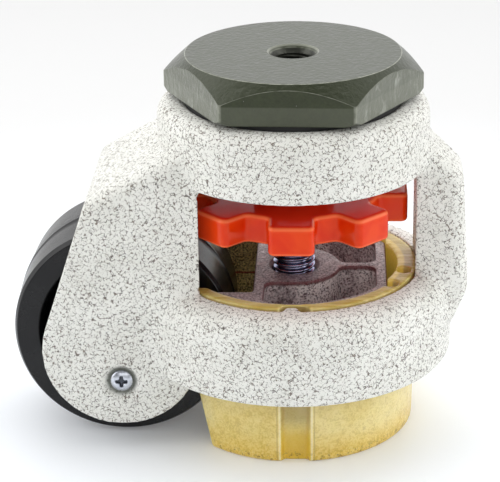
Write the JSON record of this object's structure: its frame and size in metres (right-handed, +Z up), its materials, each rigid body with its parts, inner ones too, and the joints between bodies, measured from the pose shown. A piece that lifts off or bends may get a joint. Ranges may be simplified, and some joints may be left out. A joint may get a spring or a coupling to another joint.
{
  "type": "levelling castor",
  "caption": "Swivel castor with a tapped hexagon top, a forked speckled housing, a black wheel and a keyed levelling foot lowered by a lobed red dial.",
  "frame": {"origin": "on the floor at the centre of the foot's flat underside, on the swivel axis", "axes": "+Z up along the swivel axis, the wheel trails towards -X and its axle lies along Y"},
  "size_m": [0.1289, 0.09, 0.1095],
  "materials": {
    "olive_paint": "olive grey paint over sawn steel",
    "yellow_zinc": "yellow zinc plate",
    "bright_zinc": "bright zinc plate",
    "speckled_powder": "off-white powder coat with dark crackle specks",
    "bronze": "plain sintered bronze",
    "ball_steel": "ground steel",
    "black_rubber": "matt black",
    "black_nylon": "satin moulded black nylon",
    "red_plastic": "glossy orange red",
    "black_oxide": "oiled blue-black oxide",
    "purple_cast": "grainy purple-grey casting",
    "amber_urethane": "amber moulded urethane"
  },
  "bodies": {
    "mount": {"hex_mount": "olive_paint", "upper_race": "yellow_zinc", "swivel_nut": "bright_zinc", "swivel_washer": "bright_zinc"},
    "housing": {"housing": "speckled_powder", "swivel_bush": "bronze", "lower_race": "yellow_zinc", "swivel_balls": "ball_steel", "dust_seal": "black_rubber", "bearing_plate": "bright_zinc", "plate_screws": "bright_zinc", "axle": "ball_steel", "hub_washer_near": "bright_zinc", "hub_washer_far": "bright_zinc", "axle_keeper_near": "bright_zinc", "axle_keeper_far": "bright_zinc", "keeper_screw_near": "bright_zinc", "keeper_screw_far": "bright_zinc"},
    "wheel": {"wheel": "black_nylon", "wheel_bearing_near": "ball_steel", "wheel_bearing_far": "ball_steel"},
    "dial": {"dial": "red_plastic", "dial_pin": "bright_zinc", "adjusting_screw": "black_oxide", "thrust_washer": "bright_zinc", "screw_clip": "black_oxide", "stop_washer": "black_oxide", "stop_screw": "black_oxide"},
    "foot": {"foot_plate": "purple_cast", "foot_cup": "amber_urethane"}
  },
  "joints": [
    {"name": "swivel", "type": "hinge", "parent": "mount", "child": "housing", "pos_m": [0, 0, 0.095], "axis": [0, 0, 1], "continuous": true},
    {"name": "wheel_spin", "type": "hinge", "parent": "housing", "child": "wheel", "pos_m": [-0.0482, 0, 0.0315], "axis": [0, 1, 0], "continuous": true},
    {"name": "dial_turn", "type": "hinge", "parent": "housing", "child": "dial", "pos_m": [0, 0, 0.066], "axis": [0, 0, 1], "range_deg": [-1235, 2058]},
    {"name": "foot_lift", "type": "slide", "parent": "housing", "child": "foot", "axis": [0, 0, 1], "range_m": [-0.01, 0.006]}
  ],
  "couplings": [
    {"joint": "dial_turn", "follows": "foot_lift", "rad_per_m": -3590.4}
  ]
}
